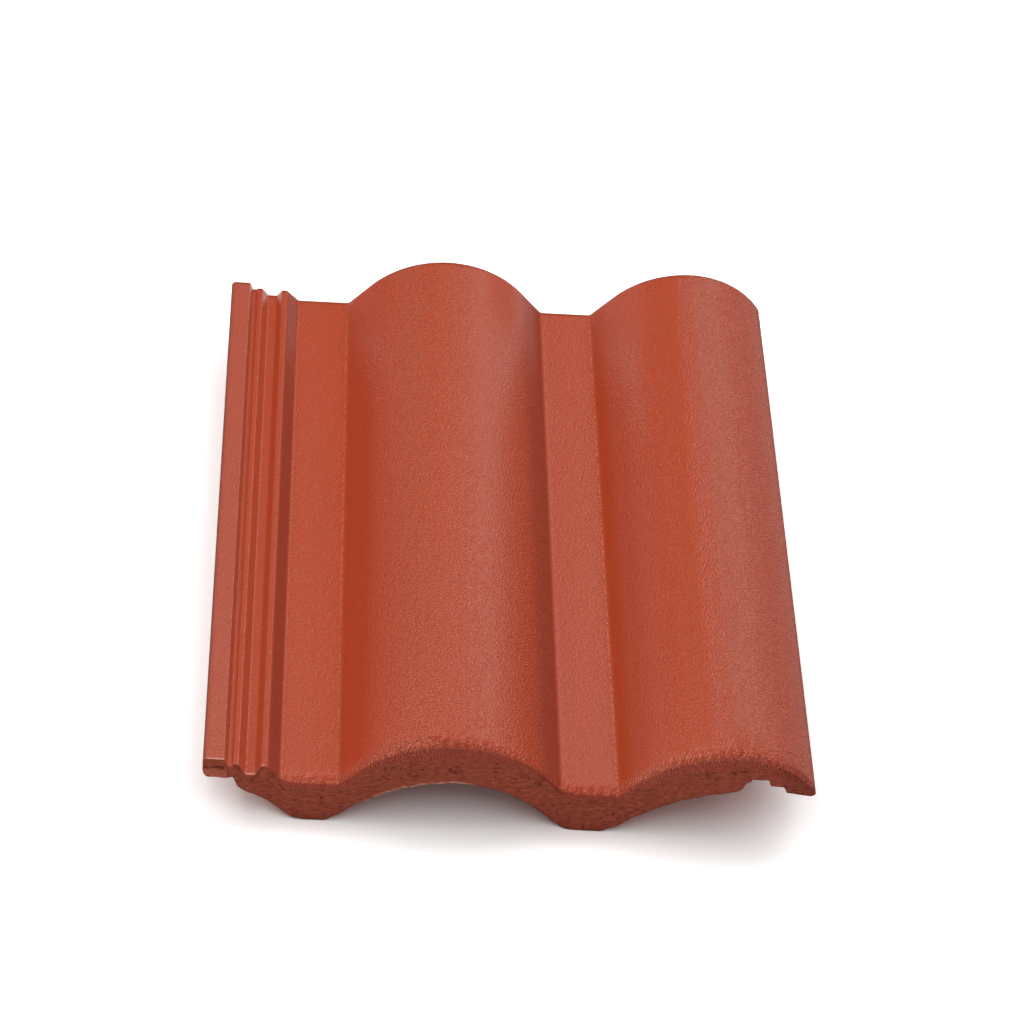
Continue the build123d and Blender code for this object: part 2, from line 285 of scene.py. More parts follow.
def noise(across, along, seed):
    """Random heights from -1 to 1 on whole-number points, joined by the step 3t^2 - 2t^3."""
    table = np.random.default_rng(seed).uniform(-1, 1, (LATTICE, LATTICE))
    a0, b0 = np.floor(across).astype(int), np.floor(along).astype(int)
    ta, tb = across - a0, along - b0
    ta, tb = ta * ta * (3 - 2 * ta), tb * tb * (3 - 2 * tb)
    a0, b0, a1, b1 = a0 % LATTICE, b0 % LATTICE, (a0 + 1) % LATTICE, (b0 + 1) % LATTICE
    near = table[a0, b0] * (1 - ta) + table[a1, b0] * ta
    far = table[a0, b1] * (1 - ta) + table[a1, b1] * ta
    return near * (1 - tb) + far * tb


def smooth(value, start, end):
    """0 before start, 1 after end, and the smooth step 3t^2 - 2t^3 between them."""
    t = np.clip((value - start) / (end - start), 0, 1)
    return t * t * (3 - 2 * t)


# %% [markdown]
# Going up the front there are four zones: a small rounded lower edge, the torn face, an
# upright strip where the coat has run down, and the fold where the coat rolls over the
# edge. Each zone gets its rows of points, at its own share of the height.

# %% Rows up the front: lower edge, torn face, rounded coat
EDGE_ROWS, FACE_ROWS, STRIP_ROWS, FOLD_ROWS = 4, 20, 7, 14
ROWS = EDGE_ROWS + FACE_ROWS + STRIP_ROWS + FOLD_ROWS
COAT_ROW = EDGE_ROWS + FACE_ROWS  # the row where the coat starts
FOLD_SHARE = 0.46  # share of the coated depth that rolls over
BEAD = 0.6  # how far the strip bulges forward
ARRIS = 1.0  # radius of the lower edge
LIP_START = 320  # from here to the right the coat hangs down over most of the edge

x = columns[:, None]
top = upper_height(columns)[:, None]
bottom = lower_height(columns, nose_line, left_stretch=1.7, right_radius=2.6)[:, None]
ragged = 0.22 * noise(x / 2.3, 0 * x, 41) + 0.28 * noise(x / 6.1, 0 * x, 42)
bottom = bottom + (ragged + 0.3) * smooth(bottom, FOOT, FOOT + 3)
back = set_back[:, None]
room = top - bottom
depth = np.minimum(edge_depth[:, None], np.where(x > LIP_START, 0.85, 0.55) * room)
run = edge_run[:, None]
arris = np.minimum(ARRIS, 0.2 * room)
fold = depth * FOLD_SHARE
bead = np.minimum(BEAD, 0.5 * run)

turn = np.linspace(0, np.pi / 2, EDGE_ROWS + 1)[:-1]
rise = np.linspace(0, 1, FACE_ROWS + 1)[:-1]
upright = np.linspace(0, 1, STRIP_ROWS + 1)[:-1]
roll_over = np.linspace(0, np.pi / 2, FOLD_ROWS + 1)
face_y = np.concatenate([
    back + arris * (1 - np.sin(turn)),
    np.repeat(back, FACE_ROWS, axis=1),
    back - bead * upright**2,
    back - bead + (run + bead) * (1 - np.cos(roll_over)),
], axis=1)
face_z = np.concatenate([
    bottom + arris * (1 - np.cos(turn)),
    bottom + arris + (room - arris - depth) * rise,
    top - depth + (depth - fold) * upright,
    top - fold * (1 - np.sin(roll_over)),
], axis=1)
lean = np.concatenate([turn - np.pi / 2, 0 * rise, 0 * upright, roll_over])
print(face_y.shape[1], "rows up the front, from", face_z.min().round(1), "mm up to the crests")

# %% [markdown]
# The relief is added square to the surface. On the coat there are wrinkles and broad
# sags. The bare face lies a little deeper, with tears and pits, and the knife has dragged
# its lowest edge smooth. Under the ledge of the side lock it has smeared a strip forward,
# with a seam above it that has no relief and is only painted dark, as shade.

# %% Relief of the front
WRINKLE, SAG = 0.16, 0.25  # millimetres
TORN_DEPTH, TEAR, PIT_DEPTH, SMEAR_HEIGHT = 0.35, 0.22, 0.8, 0.9
LEDGE_END = (13.6, 12.8)  # the smeared strip ends between these places

# distance up the developed front, in millimetres, from the lower edge and from the coat
travel = np.hypot(np.diff(face_y, axis=1), np.diff(face_z, axis=1))
travel = np.concatenate([np.zeros_like(x), np.cumsum(travel, axis=1)], axis=1)
from_coat = travel - travel[:, [COAT_ROW]]
fine_lock = smooth(x, 36, 44)  # 0 on the side lock, which has next to no wrinkles


def coat_sag(travelled):
    """Height of the wrinkled coat, mostly below 0, at a distance travelled up the front.

    Two sets of slanting wrinkles and a broad sag are three noises of their own.
    """
    wrinkle = noise((x - 0.6 * travelled) / 1.5, (travelled + 0.6 * x) / 3.6, 21)
    wrinkle += 0.7 * noise((x + 0.8 * travelled) / 2.4, (travelled - 0.3 * x) / 2.0, 22)
    sag = noise(x / 7.0, travelled / 5.0, 23)
    return (-WRINKLE * (wrinkle + 1.2) - SAG * (sag + 1)) * (0.35 + 0.65 * fine_lock)


coat_edge = 0.7 * noise(x / 4.0, from_coat / 30, 11) + 0.35 * noise(x / 1.3, from_coat / 9, 12)
coated = smooth(from_coat + coat_edge - 3.6 * smooth(x, 312, 326), -0.6, 0.1)
tear = noise(x / 2.6, from_coat / 1.3, 31) + 0.6 * noise(x / 1.3, from_coat / 0.9, 32)
pit = noise(x / 2.2, from_coat / 1.0, 33) + 0.5 * noise(x / 9, from_coat / 6, 34)
pit = smooth(pit, 0.8, 1.1)
drag = smooth(travel, 2.6, 0.8)
torn = TORN_DEPTH + TEAR * (tear + 1.5) * (1 - 0.6 * drag) + PIT_DEPTH * pit * (1 - drag)

under_ledge = smooth(x, *LEDGE_END)
smear = under_ledge * smooth(face_z + 0.4 * noise(x / 2.1, 0 * x, 43), 4.9, 4.3)
# the seam is only painted dark, as shade, above the smeared strip
seam = under_ledge * smooth(face_z, 5.9, 5.4) * (1 - smear)
seam = seam * smooth(noise(x / 1.7, 0 * x, 44), -0.9, 0.2)

relief = coated * coat_sag(from_coat) - (1 - coated) * torn
relief = relief * smooth(room, 0.5, 4) + SMEAR_HEIGHT * smear
face_y = face_y - relief * np.cos(lean)
face_z = face_z + relief * np.sin(np.maximum(lean, 0))
print("nose face: relief from", relief.min().round(2), "to", relief.max().round(2), "mm")

# %% [markdown]
# ## Stations along the tile
# The first stations follow the nose closely, because the wrinkles of the coat fade out
# over them. The last of them stands just before the back of the thick nose.

# %% Upper and lower sides of the nose
WRINKLE_REACH = 3.2  # the wrinkles fade by 1 / e in so many millimetres
nose_stations = np.array([0, 0.5, 1.1, 1.8, 2.6, 3.5, 4.6, 6.0, 7.6, 9.4, 11.4, 13.4, 15.0])
shares = nose_stations / nose_stations[-1]
last_station = NOSE_THICKNESS - 0.2


def along_nose(front):
    """Places from the front line back to the last station of the nose."""
    return front + (last_station - front) * shares


front_y = face_y[:, [-1]]
upper_y = along_nose(front_y)
near = np.exp(-nose_stations / WRINKLE_REACH)
top_relief = coat_sag(from_coat[:, [-1]] + (upper_y - front_y)) * near
upper_z = top + np.minimum(top_relief, 0)
upper_z[:, 0] = face_z[:, -1]
lower_y = along_nose(face_y[:, [0]])
lower_z = np.repeat(bottom, len(shares), axis=1)
lower_z[:, 0] = face_z[:, 0]
print(len(shares), "stations on the nose, the last at", last_station, "mm")

# %% [markdown]
# Behind the nose the stations only carry the section to the head, and stand close
# together round the two hanging nibs. A nib is a block under each pan that hooks over the
# batten of the roof: steep in front, sloping behind.

# %% Shell behind the nose, with its two nibs
NIB_FRONT, NIB_BACK, NIB_LEAN, NIB_HALF = 392.6, 413.0, 8.0, 14.5
body_x = columns[is_coarse]
body_top = upper_height(body_x)
body_bottom = lower_height(body_x, body_line)
body_stations = np.concatenate([
    [NOSE_THICKNESS, NOSE_THICKNESS + 0.7, NOSE_THICKNESS + 2.5],
    np.linspace(30, 380, 11),
    [392.2, 393, 395, 397.5, 401, 404, 405.5, 407.5, 409.5, 411.5, 413, 414.2, 417.5, LENGTH],
])


def nib_depth(x, y, centre):
    """Share of the full nib depth: the least of a ramp on each of its four sides, from 0 to 1."""
    beside = NIB_HALF + 0.5 - np.abs(x - centre)
    before = (y - NIB_FRONT + 0.4) / 0.8
    behind = (NIB_BACK - y) / NIB_LEAN
    return np.clip(np.minimum(np.minimum(beside, before), behind), 0, 1)


body_y = np.repeat(body_stations[None, :], len(body_x), axis=0)
body_upper_z = np.repeat(body_top[:, None], len(body_stations), axis=1)
nibs = sum(nib_depth(body_x[:, None], body_y, sum(pan) / 2) for pan in (PAN_1, PAN_2))
body_lower_z = body_bottom[:, None] * (1 - nibs) + FOOT * nibs
nose_behind = lower_height(body_x, nose_line)
body_lower_z[:, 0] = np.minimum(nose_behind, body_bottom)
print(len(body_stations), "stations behind the nose, thinnest place",
      (body_upper_z - body_lower_z).min().round(1), "mm")


# %% [markdown]
# ## One closed skin
# A lattice of columns, stations and rows gives each point of the skin a number. Only the
# lattice's outside is used. Where the fine columns of the nose meet the coarse ones of
# the body, each fine edge makes a triangle with its nearest coarse point, so no gap and
# no loose point is left.


# %% Lattice of a block of the tile
def block(x, y_low, z_low, y_high, z_high):
    """Points of a block: each row lies (row / rows) of the way from the lower to the upper side."""
    share = np.linspace(0, 1, ROWS + 1)
    y = y_low[..., None] * (1 - share) + y_high[..., None] * share
    z = z_low[..., None] * (1 - share) + z_high[..., None] * share
    return np.stack([np.broadcast_to(x[:, None, None], y.shape), y, z], axis=-1)


def number_outside(shape, first, closed_front, closed_back):
    """Point numbers on the outside of a lattice, and -1 within it."""
    used = np.zeros(shape, bool)
    used[[0, -1]] = True
    used[:, :, [0, -1]] = True
    used[:, 0] |= closed_front
    used[:, -1] |= closed_back
    number = np.full(shape, -1)
    number[used] = first + np.arange(used.sum())
    return number, used


nose = block(columns, lower_y, lower_z, upper_y, upper_z)
nose[:, 0, :, 1] = face_y
nose[:, 0, :, 2] = face_z
body = block(body_x, body_y, body_lower_z, body_y, body_upper_z)
nose_number, nose_used = number_outside(nose.shape[:3], 0, True, False)
body_number, body_used = number_outside(body.shape[:3], nose_used.sum(), False, True)
points = np.concatenate([nose[nose_used], body[body_used]])


# %% Faces between the numbered points
def quads(grid, flip=False):
    """One face for each cell of a grid of point numbers, walked round its four corners."""
    cells = np.stack([grid[:-1, :-1], grid[1:, :-1], grid[1:, 1:], grid[:-1, 1:]], axis=-1)
    cells = cells.reshape(-1, 4)
    return cells[:, ::-1] if flip else cells


def stitch(fine, coarse, coarse_at, flip=False):
    """Triangles between a fine and a coarse row of points.

    coarse_at gives the coarse points' places in the fine row. Each fine edge goes to its
    nearest coarse point, and where that changes, a triangle bridges two coarse points.
    """
    edge = np.arange(len(fine) - 1)
    owner = np.abs(edge[:, None] + 0.5 - coarse_at[None, :]).argmin(axis=1)
    fans = np.stack([fine[edge], fine[edge + 1], coarse[owner]], axis=-1)
    owner = np.append(owner, len(coarse) - 1)
    change = np.flatnonzero(np.diff(owner)) + 1
    bridges = np.stack([fine[change], coarse[owner[change]], coarse[owner[change - 1]]], axis=-1)
    faces = np.concatenate([fans, bridges])
    return faces[:, ::-1] if flip else faces


faces_4 = [quads(nose_number[:, 0, :])]
for number in (nose_number, body_number):
    faces_4 += [
        quads(number[:, :, -1]), quads(number[:, :, 0], flip=True),
        quads(number[0], flip=True), quads(number[-1]),
    ]
faces_4.append(quads(body_number[:, -1, :], flip=True))
for side, flip in ((0, True), (-1, False)):
    faces_4.append(quads(np.stack([nose_number[side, -1], body_number[side, 0]]), flip))
faces_4 = np.concatenate(faces_4)
coarse_at = np.flatnonzero(is_coarse)
faces_3 = np.concatenate([
    stitch(nose_number[:, -1, -1], body_number[:, 0, -1], coarse_at),
    stitch(nose_number[:, -1, 0], body_number[:, 0, 0], coarse_at, flip=True),
])
print(len(points), "points,", 2 * len(faces_4) + len(faces_3), "triangles")


# %% [markdown]
# The faces go into the mesh as whole arrays: all corners in one row, and for each face
# where its corners start. The shading is smooth, because the real edges are rounded.


# %% Mesh of the tile
def make_mesh(name, points, faces_4, faces_3):
    """A smooth mesh from points in frame metres and arrays of four- and three-sided faces."""
    mesh = bpy.data.meshes.new(name)
    corners = np.concatenate([faces_4.ravel(), faces_3.ravel()]).astype(np.int32)
    sizes = np.repeat([4, 3], [len(faces_4), len(faces_3)])
    mesh.vertices.add(len(points))
    mesh.vertices.foreach_set("co", points.astype(np.float32).ravel())
    mesh.loops.add(len(corners))
    mesh.loops.foreach_set("vertex_index", corners)
    mesh.polygons.add(len(sizes))
    mesh.polygons.foreach_set("loop_start", (np.cumsum(sizes) - sizes).astype(np.int32))
    mesh.update(calc_edges=True)
    mesh.validate()
    mesh.shade_smooth()
    return mesh


tile_mesh = make_mesh("tile_skin", to_frame(points), faces_4, faces_3)
tile = bpy.data.objects.new("tile_skin", tile_mesh)
bpy.context.scene.collection.objects.link(tile)
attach(tile, "root")
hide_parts("roof_tile")
print(tile.name, "spans", np.ptp(points, axis=0).round(1), "mm")

# %% [markdown]
# ## What the mesh carries
# The finishes need to know where they are, so each point carries a few numbers, worked
# out from the same zones as the shape. The first ones follow the cut nose: where there is
# coat and how glossy it is, where it sags in strokes, where the edges of the ledge and the
# ribs get a painted highlight, where the bare face is dragged, pitted or smeared, and where
# the nose gets painted light or shade.

# %% Values that follow the cut nose
point_x, point_y = points[:, 0], points[:, 1]
up_front = np.arange(ROWS + 1)
on_edge = up_front < EDGE_ROWS
in_arch_1 = smooth(x, 80, 92) * smooth(x, 150, 138)
over_lip = smooth(x, 306, 318)
values = {}


def from_zones(front, upper=0.0, behind=0.0):
    """A value for each point: on the front, on the nose's upper side, and on the body's."""
    nose_values, body_values = np.zeros(nose.shape[:3]), np.zeros(body.shape[:3])
    nose_values[:, :, -1] = upper
    nose_values[:, 0, :] = front
    body_values[:, :, -1] = behind
    return np.concatenate([nose_values[nose_used], body_values[body_used]])


values["coat"] = from_zones(coated, 1, 1)
values["gloss"] = from_zones(
    coated * (0.3 + 0.8 * smooth(lean, 0.1, 0.6)) * (1 - 0.6 * over_lip), 1, 1
)
values["band"] = from_zones(
    coated * (0.4 + 0.6 * smooth(lean, 0.05, 0.5)) * fine_lock, near * fine_lock
)
# painted shadow: the upright strip under the fold is painted darker
values["fold_shadow"] = from_zones(coated * smooth(lean, 0.7, 0.1))
values["drag"] = from_zones(drag)
# painted shade: the pits and the seam are painted dark
values["pit"] = from_zones(np.maximum(pit * (1 - coated) * (1 - drag), seam))
values["smear"] = from_zones(smear)
# painted light: the lower rim of the first arch is painted pale, as lit
values["rim_light"] = from_zones((up_front <= EDGE_ROWS) * smooth(bottom, -24, -12) * in_arch_1)
values["brink"] = from_zones(on_edge * (1 - smooth(x, 78, 90) * smooth(x, 152, 140)))

# on top, the lip's painted shade starts 2 mm further right than on the front
lip_on_top = smooth(x, 308, 320)
values["lip"] = from_zones(np.where(up_front < ROWS, over_lip, lip_on_top), lip_on_top * near)

# painted highlight: a pale line on the front edges of the ledge and the ribs
EDGE_HIGHLIGHTS = np.array([
    (0, 0), (1.5, 0), (2.5, 1), (11, 1), (11.8, 0.1), (22, 0.1), (22.8, 0.8), (28, 0.8),
    (28.8, 0.1), (31, 0.1), (31.6, 0.9), (32.4, 0.9), (33, 0),
])
edge_highlight = coated * np.interp(x, *EDGE_HIGHLIGHTS.T) * smooth(lean, 0.2, 0.7)
values["edge_highlight"] = from_zones(edge_highlight, edge_highlight[:, [-1]] * (nose_stations < 1))
print("values on the nose:", ", ".join(values))

# %% [markdown]
# The other values run along the whole tile and are given at places across it. The roller
# presses the pans and the lock smooth, while the first roll stays coarser and the lip's
# flank coarsest. Parts of the flanks get a brighter, warmer red as painted light, and the
# steep slopes to the left of both pans a deeper red as painted shade. The shade values are
# painted shade at the left and right edges, on those slopes and on the second pan. The
# creases to the right of the pans get a thin, dotted painted highlight.

# %% Values given at places across
GRAIN = [
    (0, 0.6), (11, 0.55), (13, 0.4), (33, 0.35), (35, 0.45), (41, 0.45), (43, 0.4), (73, 0.4),
    (84, 0.6), (92, 1.0), (100, 1.3), (114, 1.4), (122, 1.0), (132, 1.0), (142, 0.95), (150, 0.8),
    (160, 0.75), (170, 0.9), (178, 1.3), (185, 1.3), (193, 0.45), (223, 0.45), (230, 0.6),
    (240, 0.85), (250, 0.8), (262, 0.75), (270, 0.45), (278, 1.1), (290, 1.8), (300, 2.2),
    (312, 2.8), (326, 2.8),
]
# painted shade: the coat is darkened towards black at the left and right edges, on the ledge, on
# the steep slopes beside the pans and on the second pan
SHADE = [
    (0, 0.5), (0.8, 0.55), (1.6, 0.93), (11.4, 0.93), (13, 0.98), (34.1, 0.98), (35, 0.87),
    (41, 0.87), (42, 0.99), (73, 0.99), (176, 0.98), (184, 0.9), (191.5, 0.86), (193.5, 0.95),
    (212, 0.95), (222, 0.92), (225, 0.94), (232, 0.99), (280, 0.98), (300, 1), (308, 0.98),
    (322, 0.96), (327.4, 0.94), (328.2, 0.72), (WIDTH, 0.66),
]
# painted shade: the steep slopes to the left of both pans, which face right, are painted a deeper
# red
SLOPE_SHADE = [
    (34.6, 0), (35.2, 1), (40.8, 1), (41.4, 0), (178, 0), (184, 0.8), (191.5, 1), (192.8, 0),
]
# painted light: parts of the flanks get a brighter, warmer red in place of more light
FLANK_LIGHT = [
    (74, 0), (77, 0.9), (88, 1), (96, 0.7), (104, 0.2), (116, 0), (176, 0), (182, 0.3),
    (189, 0.2), (193, 0), (230, 0), (236, 0.5), (254, 0.45), (264, 0), (298, 0), (304, 0.6),
    (322, 0.6), (327, 0),
]
# painted highlight: a thin, dotted bright pink line in the creases to the right of the pans,
# carried as the value named bead
CREASE_GLINTS = [
    (71.3, 0), (71.7, 0.55), (72.2, 0.55), (72.6, 0), (222.3, 0), (222.7, 0.9), (223.2, 0.9),
    (223.6, 0),
]
for name, places, softness in (
    ("grain", GRAIN, 2.0), ("shade", SHADE, 0.5), ("slope_shade", SLOPE_SHADE, 0.4), ("flank_light", FLANK_LIGHT, 1.0),
    ("bead", CREASE_GLINTS, 0.1),
):
    values[name] = blended(point_x, places, softness)
    print(name, "from", values[name].min().round(2), "to", values[name].max().round(2))

# %% [markdown]
# Some values also change along the tile. The curls on the left flanks, with their painted
# highlights, are stronger toward the nose. A pale painted sheen lies along a few strips, on
# the steep slopes only near the head, and on the outer crest only behind the nose. The left
# flanks are duller at the head. The gloss and the painted highlights on the strokes of the
# sagging coat were begun above and are only weighted here.

# %% Values that also change along the tile
# the curls carry their relief and, on their ridges, painted highlights
CURL = [
    (84, 0), (95, 0.6), (112, 1), (124, 0.5), (135, 0), (232, 0), (245, 0.5), (262, 0.5), (272, 0),
]
FINE_CURL = [(88, 0), (100, 0.3), (124, 0.3), (136, 0), (286, 0), (296, 0.45), (312, 0.6)]
# painted highlights: the bright strokes in the sagging band, strongest on the left flanks
STROKE_HIGHLIGHTS = [
    (36, 0), (46, 0.3), (76, 0.2), (84, 0.7), (100, 1), (116, 0.7), (124, 0.2), (222, 0.1),
    (232, 0.7), (250, 1), (266, 0.7), (276, 0.3), (290, 0.3), (306, 0),
]
# painted sheen: a pale pink tint laid on as sheen along these strips, near the head and on the
# outer crest
SHEEN_STRIPS = [
    (0, 0), (1.5, 0.5), (11, 0.5), (12.2, 0.1), (33, 0.1), (34.5, 0), (42.5, 0), (44, 0.2),
    (60, 0.1), (71, 0), (228, 0), (233, 0.35), (244, 0.35), (254, 0),
]
HEAD_SHEEN = [
    (35, 0), (35.5, 0.8), (40.5, 0.8), (41, 0), (172, 0), (177, 0.15), (182, 0.85), (186, 0.8),
    (191, 0),
]
CREST_SHEEN = [(280, 0), (286, 0.5), (295, 0.5), (302, 0)]
GLOSS = [
    (0, 0.2), (1.2, 0.3), (1.8, 1), (34.1, 1), (35, 0), (41, 0), (42, 1), (86, 1), (94, 0.72),
    (106, 0.74), (114, 0.95), (176, 1), (183, 0.2), (192, 0), (193.5, 0.85), (223, 0.85),
    (225, 1), (300, 1), (307, 0.72), (314, 0.57), (326, 0.55), (327, 0.5), (328, 0.35),
    (WIDTH, 0.2),
]
LEFT_FLANKS = [
    (73, 0), (76, 1), (98, 1), (110, 0), (154, 0), (162, 0.8), (174, 0.8), (180, 0), (223, 0),
    (227, 1), (246, 1), (258, 0),
]
curl_and_highlight = blended(point_x, CURL, 3.0) * (0.35 + 0.65 * smooth(point_y, 90, 20))
values["curl_and_highlight"] = np.maximum(curl_and_highlight, blended(point_x, FINE_CURL, 2.0))
values["stroke_highlight"] = values["band"] * blended(point_x, STROKE_HIGHLIGHTS, 2.0)
values["haze"] = blended(point_x, SHEEN_STRIPS, 0.3)
values["haze"] += blended(point_x, HEAD_SHEEN, 0.4) * smooth(point_y, 325, 390)
values["haze"] += blended(point_x, CREST_SHEEN, 0.4) * smooth(point_y, 8, 30)
values["gloss"] *= blended(point_x, GLOSS, 0.4)
values["gloss"] *= 1 - 0.6 * blended(point_x, LEFT_FLANKS, 1.0) * smooth(point_y, 340, 400)
for name, value in values.items():
    layer = tile_mesh.attributes.new(name, "FLOAT", "POINT")
    layer.data.foreach_set("value", value.astype(np.float32))
print("the mesh carries", len(values), "values on each of", len(points), "points")

# %% [markdown]
# ## Finishes
# The tile is one lump of pigmented concrete. Its weather side has an acrylic colour
# coat, rolled on wet: brick red, satin, with the sand grains just showing through. The
# cut face is bare concrete in a browner red, rough and dull, streaked by the knife. One
# material holds both, because the coat ends in a ragged line that no edge of the mesh
# follows; the value named coat picks between them. The short helpers below add to the
# tree that is being built.


# %% Small helpers for node materials
def linear(hex_colour):
    """An sRGB hex colour as linear red, green, blue and alpha, by the sRGB curve."""
    part = np.array([int(hex_colour[i : i + 2], 16) for i in (1, 3, 5)]) / 255
    part = np.where(part <= 0.04045, part / 12.92, ((part + 0.055) / 1.055) ** 2.4)
    return (*part.tolist(), 1.0)


def add(tree, kind, settings=None, **links):
    """Adds a node, sets its properties, and fills its inputs with values or node outputs."""
    node = tree.nodes.new(kind)
    for key, value in (settings or {}).items():
        setattr(node, key, value)
    for key, value in links.items():
        socket = int(key[2:]) if key.startswith("in") else key.replace("_", " ")
        if isinstance(value, bpy.types.NodeSocket):
            tree.links.new(value, node.inputs[socket])
        else:
            node.inputs[socket].default_value = value
    return node


def new_material(name):
    """An empty node material and its tree."""
    material = bpy.data.materials.new(name)
    material.use_nodes = True
    material.node_tree.nodes.clear()
    return material, material.node_tree


material, tree = new_material("acrylic_coated_concrete")


def painted(name):
    """The value that the mesh carries under this name."""
    return add(tree, "ShaderNodeAttribute", {"attribute_name": name}).outputs["Fac"]


def times(first, second):
    """The product of two values."""
    return add(tree, "ShaderNodeMath", {"operation": "MULTIPLY"}, in0=first, in1=second).outputs[0]


def ramp(value, low, high, start=0.0, end=1.0):
    """A straight ramp from start at low to end at high, and level outside."""
    limits = {"From_Min": low, "From_Max": high, "To_Min": start, "To_Max": end}
    return add(tree, "ShaderNodeMapRange", Value=value, **limits).outputs[0]


def mixed(share, first, second):
    """A colour between two, each a hex colour or a node's output."""
    first, second = (linear(c) if isinstance(c, str) else c for c in (first, second))
    mix = add(tree, "ShaderNodeMix", {"data_type": "RGBA"}, Factor=share, in6=first, in7=second)
    return mix.outputs[2]


def layered(colour, layers):
    """A colour with layers laid over it in their order, each a share and a hex colour."""
    for share, layer in layers:
        colour = mixed(share, colour, layer)
    return colour


# %% [markdown]
# Four patterns make the surface, each at the size of the real thing. Sand grains just
# over 1 mm apart raise the coat and change its colour a little, partly as their own tone
# and partly as painted shade in the hollows and painted light on the tops. Two wave
# patterns, turned aslant, give the strokes of the sagging coat, 1.5 mm apart, and the fine
# curls on the rolls, 1.8 mm apart. The cut face has streaks 1.1 mm high and three times as
# wide, because the knife draws them out sideways. A wave repeats every 0.314 m divided by
# its scale, and a noise about every 1 m divided by its scale.

# %% Patterns
GRAIN_SCALE, STREAK_SCALE, STROKE_SCALE, CURL_SCALE = 950.0, 900.0, 215.0, 170.0
place = add(tree, "ShaderNodeTexCoord").outputs["Object"]


def moved(**how):
    """The place of a point, turned or stretched."""
    return add(tree, "ShaderNodeMapping", {"vector_type": "POINT"}, Vector=place, **how).outputs[0]


def waves(vector, scale, distortion, detail_scale):
    """Wavy lines across the X of the given places."""
    return add(
        tree, "ShaderNodeTexWave", {"wave_type": "BANDS", "bands_direction": "X"}, Vector=vector,
        Scale=scale, Distortion=distortion, Detail=1.0, Detail_Scale=detail_scale,
        Detail_Roughness=0.5,
    ).outputs["Fac"]


grain = add(tree, "ShaderNodeTexNoise", Vector=place, Scale=GRAIN_SCALE, Detail=0.0).outputs["Fac"]
centred = add(tree, "ShaderNodeMath", {"operation": "SUBTRACT"}, in0=grain, in1=0.5).outputs[0]
grain_height = times(centred, painted("grain"))
curls = waves(moved(Rotation=(0.0, 0.0, 1.3)), CURL_SCALE, 14.0, 0.8)
strokes = waves(moved(Rotation=(0.6, 0.0, 0.75)), STROKE_SCALE, 9.0, 1.3)
wide = moved(Scale=(0.32, 0.32, 1.0))
streaks = add(
    tree, "ShaderNodeTexNoise", Vector=wide, Scale=STREAK_SCALE, Detail=3.0, Roughness=0.6
).outputs["Fac"]
print("grains", round(1000 / GRAIN_SCALE, 2), "mm apart, strokes", round(314 / STROKE_SCALE, 2))

# %% [markdown]
# The coat is a brick red that the grains make lighter or darker, partly their own tone and
# partly painted shade in their hollows and painted light on their tops. Over it lie, in this
# order, painted highlights on the curls, a brighter, warmer red as painted light on parts of
# the flanks, a warmer red in the sagging band, a deep red as painted shade on the steep
# slopes, the painted shade at the edges, on those slopes and on the second pan, a dotted
# painted highlight in the creases, a pale painted sheen, painted highlights on the bright
# strokes, a painted highlight on the edges of the ledge and ribs, and a painted shadow on the
# strip under the fold.

# %% Colour of the coat
# painted shade: the shade values darken the coat towards black
edge_shade = ramp(painted("shade"), 1.0, 0.0)
# painted highlight, dotted by the grain, in the creases
crease_glints = times(times(painted("bead"), ramp(grain, 0.45, 0.6)), 0.5)
# the grains: their own tone, with painted shade in the hollows and painted light on the tops
coat_colour = layered(mixed(ramp(grain_height, -0.25, 0.25), "#AE3E1F", "#C24E27"), [
    # painted highlights on the ridges of the curls
    (times(painted("curl_and_highlight"), ramp(curls, 0.6, 1.0, 0.0, 0.5)), "#E07A58"),
    # painted light: a brighter, warmer red on parts of the flanks
    (times(painted("flank_light"), 0.3), "#D24427"),
    (times(painted("band"), 0.18), "#D83A18"),
    # painted shade: a deep red on the steep slopes
    (times(painted("slope_shade"), 0.32), "#6A1806"),
    # painted shade at the edges, on those slopes and on the second pan
    (edge_shade, "#000000"),
    # a dotted painted highlight in the creases
    (crease_glints, "#E8967A"),
    # a pale painted sheen
    (times(painted("haze"), 0.13), "#E8B8B0"),
    # painted highlights on the strokes of the sagging band
    (times(painted("stroke_highlight"), ramp(strokes, 0.5, 0.9, 0.0, 0.5)), "#E48C70"),
    # a painted highlight on the edges of the ledge and ribs
    (times(painted("edge_highlight"), 0.6), "#E8A08C"),
    # a painted shadow on the strip under the fold
    (times(painted("fold_shadow"), ramp(strokes, 0.25, 0.75, 0.9, 0.25)), "#8E2E14"),
])
print("coat colour:", len(tree.nodes), "nodes so far")

# %% [markdown]
# The bare concrete is browner, with paler and darker streaks. The dragged edge is even in
# colour, the smeared strip paler, the pits and the seam above the strip painted dark as
# shade, the rim of the first arch painted pale as light, and the lowest edge elsewhere nearly
# black, as it meets its own shadow. The overlapping lip is painted darker than the rest, as
# shade, on its front and on top, with or without coat.

# %% Colour of the torn face, and of both together
torn_colour = layered(mixed(ramp(streaks, 0.3, 0.68), "#843421", "#BB593E"), [
    (times(painted("drag"), 0.5), "#A0402A"),
    (times(painted("smear"), ramp(streaks, 0.4, 0.6, 0.35, 0.95)), "#CE6E54"),
    # painted shade: dark pits and seam
    (times(painted("pit"), 0.7), "#5A2216"),
    # painted light: a pale rim on the first arch
    (times(painted("rim_light"), ramp(streaks, 0.35, 0.6)), "#D89C86"),
    (times(painted("brink"), 0.65), "#2E120C"),
])
coat = painted("coat")
